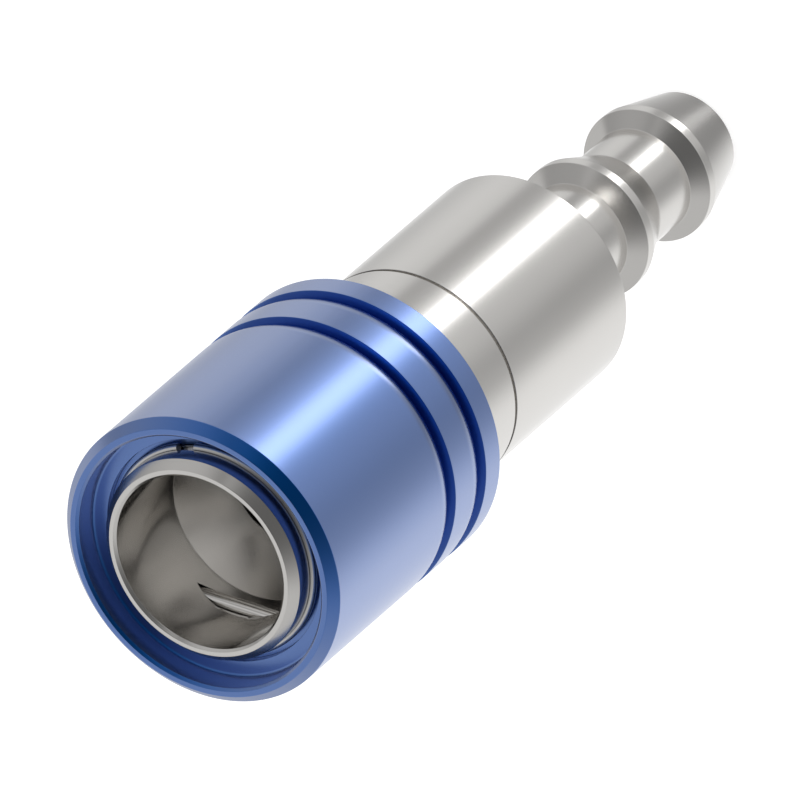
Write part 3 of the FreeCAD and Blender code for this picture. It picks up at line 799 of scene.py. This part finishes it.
class COUPLING_OT_locking_pins(bpy.types.Operator):
    """Turn one locking pin and copy it to the other side"""
    bl_idname = "coupling.locking_pins"
    bl_label = "Locking Pins"

    def execute(self, context):
        s = sizes("coupling_lock")
        lathe = sizes("coupling_lathe")
        low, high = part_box("locking_pin_1")
        centre = (low + high) / 2
        radius = (high.x - low.x) / 2
        clear_selection()
        bpy.ops.mesh.primitive_cylinder_add(vertices=lathe.pin_sides, radius=radius,
                                            depth=high.y - low.y, location=centre,
                                            rotation=(math.pi / 2, 0, 0))
        first = bpy.context.object
        first.name = "pin_turned_1"
        bpy.ops.object.transform_apply(location=True, rotation=True, scale=True)
        # Only the rims of the two ends turn by more than 60 degrees
        apply_modifier(first, "BEVEL", width=s.pin_chamfer, segments=lathe.pin_steps,
                       limit_method="ANGLE", angle_limit=math.radians(60))
        smooth(first)
        second = first.copy()
        second.data = first.data.copy()
        second.name = "pin_turned_2"
        context.scene.collection.objects.link(second)
        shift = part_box("locking_pin_2")[0] - low
        clear_selection()
        second.select_set(True)
        context.view_layer.objects.active = second
        bpy.ops.transform.translate(value=shift)
        bpy.ops.object.transform_apply(location=True, rotation=False, scale=False)
        material = finish("Ground stainless pin steel", ground_nodes)
        dress(first, material, "pin_1", "locking_pin_1")
        dress(second, material, "pin_2", "locking_pin_2")
        return {"FINISHED"}


class COUPLING_OT_valve_poppet(bpy.types.Operator):
    """Turn the poppet that closes the nose hole"""
    bl_idname = "coupling.valve_poppet"
    bl_label = "Valve Poppet"

    def execute(self, context):
        s = sizes("coupling_poppet")
        face = top("valve_poppet")
        end = foot("valve_poppet")
        groove_top = face - s.groove_top
        groove_foot = groove_top - s.groove_width
        rim_top = groove_foot - s.flange + s.cone
        rim_foot = rim_top - s.rim
        outline = [
            (0.0, end),
            (s.stem, end),
            (s.stem, rim_foot - s.boss_height),
            (s.boss, rim_foot - s.boss_height),
            (s.boss, rim_foot),
            (s.flange, rim_foot),
            (s.flange, rim_top),
            (s.cone, groove_foot),
            (s.groove_floor, groove_foot),
            (s.groove_floor, groove_top),
            (s.nose, groove_top),
            (s.nose, face - s.edge),
            (s.nose - s.edge, face),
            (0.0, face),
        ]
        piece = turn_piece("poppet_turned", outline)
        break_edges(piece)
        smooth(piece)
        material = finish("Turned stainless steel", steel_nodes)
        dress(piece, material, "poppet", "valve_poppet")
        return {"FINISHED"}


class COUPLING_OT_springs(bpy.types.Operator):
    """Copy the two springs inside and give them the wire's finish"""
    bl_idname = "coupling.springs"
    bl_label = "Springs"

    def execute(self, context):
        for node, joint in (("lock_spring", "lock_slide"), ("valve_spring", "poppet_slide")):
            clear_selection()
            coil = bpy.data.objects.new(node + "_coil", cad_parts[node].data.copy())
            context.scene.collection.objects.link(coil)
            coil.select_set(True)
            context.view_layer.objects.active = coil
            bpy.ops.object.mode_set(mode="EDIT")
            select_mesh()
            bpy.ops.mesh.remove_doubles(threshold=WELD / 10)  # the CAD mesh's faces are small
            bpy.ops.object.mode_set(mode="OBJECT")
            smooth(coil)
            material = finish("Drawn stainless wire", wire_nodes)
            dress(coil, material, "root", node)
            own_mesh(coil)
        return {"FINISHED"}


class COUPLING_OT_inner_parts(bpy.types.Operator):
    """Give the rings, guide and seals inside their finishes"""
    bl_idname = "coupling.inner_parts"
    bl_label = "Inner Parts"

    def execute(self, context):
        finishes = (
            ("Turned stainless steel", steel_nodes,
             ("pin_follower_ring", "spring_seat_ring", "poppet_guide")),
            ("Moulded seal rubber", rubber_nodes,
             ("poppet_seal", "nose_seal", "tail_seal")),
        )
        for name, build, nodes in finishes:
            for node in nodes:
                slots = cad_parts[node].data.materials
                slots.clear()
                slots.append(finish(name, build))
        return {"FINISHED"}


class COUPLING_OT_studio(bpy.types.Operator):
    """Set up the floor, the light tent, the background and the camera"""
    bl_idname = "coupling.studio"
    bl_label = "Studio"

    def execute(self, context):
        s = sizes("coupling_studio")
        clear_selection()
        bpy.ops.mesh.primitive_circle_add(vertices=128, radius=s.floor, fill_type="NGON",
                                          location=(0, 0, 0))
        floor = context.object
        floor.name = "studio_floor"
        floor.data.materials.append(finish("Pale studio floor", floor_nodes))
        floor.visible_glossy = False
        bpy.ops.mesh.primitive_uv_sphere_add(segments=64, ring_count=32, radius=s.tent,
                                             location=(0, 0, 0))
        tent = context.object
        tent.name = "light_tent"
        bpy.ops.object.shade_smooth()
        tent.data.materials.append(finish("Light tent cloth", tent_nodes))
        tent.visible_camera = False
        tent.visible_diffuse = False
        tent.visible_transmission = False
        tent.visible_shadow = False
        world = bpy.data.worlds.new("studio")
        world.use_nodes = True
        world.node_tree.nodes.clear()
        world_nodes(world.node_tree)
        context.scene.world = world
        context.scene.view_settings.view_transform = "Standard"
        self.place_camera(context, s)
        return {"FINISHED"}

    def place_camera(self, context, s):
        """Camera at the photograph's viewing angle, far off with a long lens."""
        level = math.cos(s.elevation)
        sight = Vector((level * math.cos(s.azimuth), level * math.sin(s.azimuth),
                        math.sin(s.elevation)))
        data = bpy.data.cameras.new("studio_camera")
        data.lens = s.lens
        data.sensor_width = s.film
        data.clip_start = s.distance / 2
        data.clip_end = s.distance * 4
        camera = bpy.data.objects.new("studio_camera", data)
        context.scene.collection.objects.link(camera)
        side = Vector((-math.sin(s.azimuth), math.cos(s.azimuth), 0.0))
        up = sight.cross(side)
        right = side * math.cos(s.roll) + up * math.sin(s.roll)
        upward = up * math.cos(s.roll) - side * math.sin(s.roll)
        camera.matrix_world = Matrix((right, upward, sight)).transposed().to_4x4()
        camera.location = Vector(s.target) + sight * s.distance
        context.scene.camera = camera


class COUPLING_PT_panel(bpy.types.Panel):
    """Sizes, finishes and steps of the coupling"""
    bl_idname = "COUPLING_PT_panel"
    bl_label = "Quick Coupling"
    bl_space_type = "VIEW_3D"
    bl_region_type = "UI"
    bl_category = "Coupling"

    def draw(self, context):
        for step in STEPS:
            self.layout.operator(step.bl_idname)
        for name, group in GROUPS.items():
            box = self.layout.box()
            box.label(text=group.__doc__)
            for field in group.__annotations__:
                box.prop(getattr(context.scene, name), field)


GROUPS = {
    "coupling_lathe": LatheSettings,
    "coupling_sleeve": SleeveSizes,
    "coupling_body": BodySizes,
    "coupling_tail": TailSizes,
    "coupling_lock": LockSizes,
    "coupling_poppet": PoppetSizes,
    "coupling_colours": FinishColours,
    "coupling_strip": StripLight,
    "coupling_studio": StudioSettings,
}
STEPS = (
    COUPLING_OT_release_sleeve,
    COUPLING_OT_socket_body,
    COUPLING_OT_hose_tail,
    COUPLING_OT_stop_ring,
    COUPLING_OT_locking_pins,
    COUPLING_OT_valve_poppet,
    COUPLING_OT_springs,
    COUPLING_OT_inner_parts,
    COUPLING_OT_studio,
)


def register():
    """Add the property groups, the steps and the panel."""
    for name, group in GROUPS.items():
        bpy.utils.register_class(group)
        setattr(bpy.types.Scene, name, PointerProperty(type=group))
    for step in STEPS:
        bpy.utils.register_class(step)
    bpy.utils.register_class(COUPLING_PT_panel)


def unregister():
    """Remove them again."""
    bpy.utils.unregister_class(COUPLING_PT_panel)
    for step in reversed(STEPS):
        bpy.utils.unregister_class(step)
    for name, group in reversed(GROUPS.items()):
        delattr(bpy.types.Scene, name)
        bpy.utils.unregister_class(group)


def main():
    """Build the looks in order."""
    register()
    for step in STEPS:
        family, name = step.bl_idname.split(".")
        getattr(getattr(bpy.ops, family), name)()


if __name__ == "__main__":
    main()
